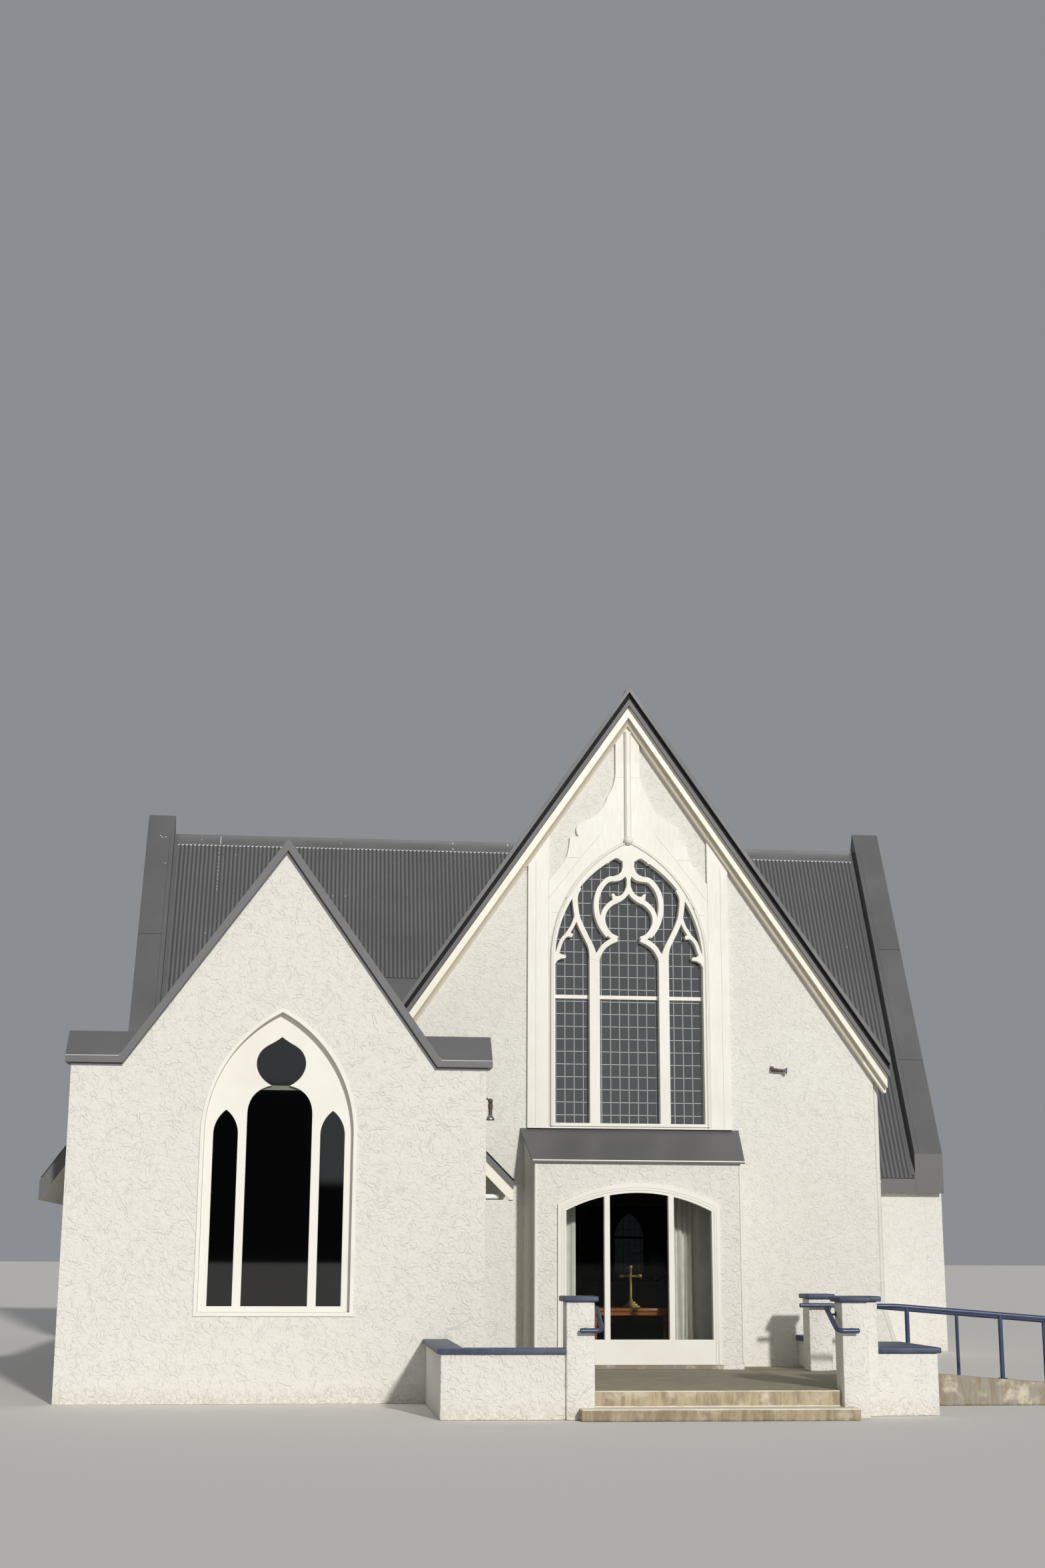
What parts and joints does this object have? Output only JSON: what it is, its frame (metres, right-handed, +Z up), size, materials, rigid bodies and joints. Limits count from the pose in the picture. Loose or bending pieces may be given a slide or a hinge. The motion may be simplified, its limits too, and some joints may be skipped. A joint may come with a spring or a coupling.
{
  "type": "small stuccoed church with traceried front gable",
  "caption": "Single-storey white church: tall gable with pointed tracery window over a bay, lower parapet wing, long steep-roofed nave behind, low-walled terrace with steps and railed ramp.",
  "frame": {"origin": "centre of the whole footprint's bounding box, at ground level", "axes": "+X towards the ramp side, seen from the front as the right; +Y from the front steps towards the nave at the back; +Z up"},
  "size_m": [14.03, 20.08, 9.565],
  "materials": {
    "stucco": "white painted trowelled stucco",
    "white_trim": "smooth white paint",
    "cream_board": "smooth cream paint",
    "roof_metal": "satin dark grey coated sheet",
    "concrete": "weathered concrete",
    "slate_paint": "slate blue paint on cast caps",
    "rail_paint": "slate blue painted pipe",
    "pipe_paint": "off-white paint",
    "door_paint": "slate blue paint",
    "dark_glass": "clear panes before a dark room",
    "oak": "varnished oak",
    "brass": "polished",
    "curtain": "woven off-white cloth"
  },
  "bodies": {
    "root": {"gable_front_wall": "stucco", "gable_left_wall": "stucco", "gable_right_wall": "stucco", "gable_roof": "roof_metal", "gable_bargeboards": "cream_board", "gable_face_boards": "white_trim", "gable_tracery": "white_trim", "gable_window_glass": "dark_glass", "hall_side_glass": "dark_glass", "bay_walls": "stucco", "bay_roof": "roof_metal", "bay_window_frame": "white_trim", "bay_window_glass": "dark_glass", "communion_table": "oak", "altar_cross": "brass", "curtain_left": "curtain", "curtain_right": "curtain", "wing_front_wall": "stucco", "wing_window_surround": "white_trim", "wing_window_panel": "white_trim", "wing_window_glass": "dark_glass", "wing_left_wall": "stucco", "wing_right_wall": "stucco", "wing_side_glass": "dark_glass", "entrance_door": "door_paint", "wing_coping": "roof_metal", "wing_roof": "roof_metal", "lean_to_roof": "roof_metal", "lean_to_bargeboard": "cream_board", "lean_to_wall": "stucco", "nave_front_wall": "stucco", "nave_back_wall": "stucco", "nave_end_wall_left": "stucco", "nave_end_wall_right": "stucco", "nave_parapet_left": "roof_metal", "nave_parapet_right": "roof_metal", "nave_roof": "roof_metal", "nave_front_glass": "dark_glass", "nave_back_glass": "dark_glass", "nave_end_glass_left": "dark_glass", "nave_end_glass_right": "dark_glass", "floor_slab": "concrete", "terrace_and_steps": "concrete", "ramp": "concrete", "forecourt_wall_left": "stucco", "forecourt_wall_right": "stucco", "forecourt_wall_back": "stucco", "pier_cap_left": "slate_paint", "pier_cap_right": "slate_paint", "pier_cap_back": "slate_paint", "low_wall_cap_left": "slate_paint", "low_wall_cap_right": "slate_paint", "low_wall_cap_back": "slate_paint", "ramp_railing_front": "rail_paint", "ramp_railing_rear": "rail_paint", "step_handrail_left": "rail_paint", "step_handrail_right": "rail_paint", "downpipe": "pipe_paint"}
  },
  "joints": []
}
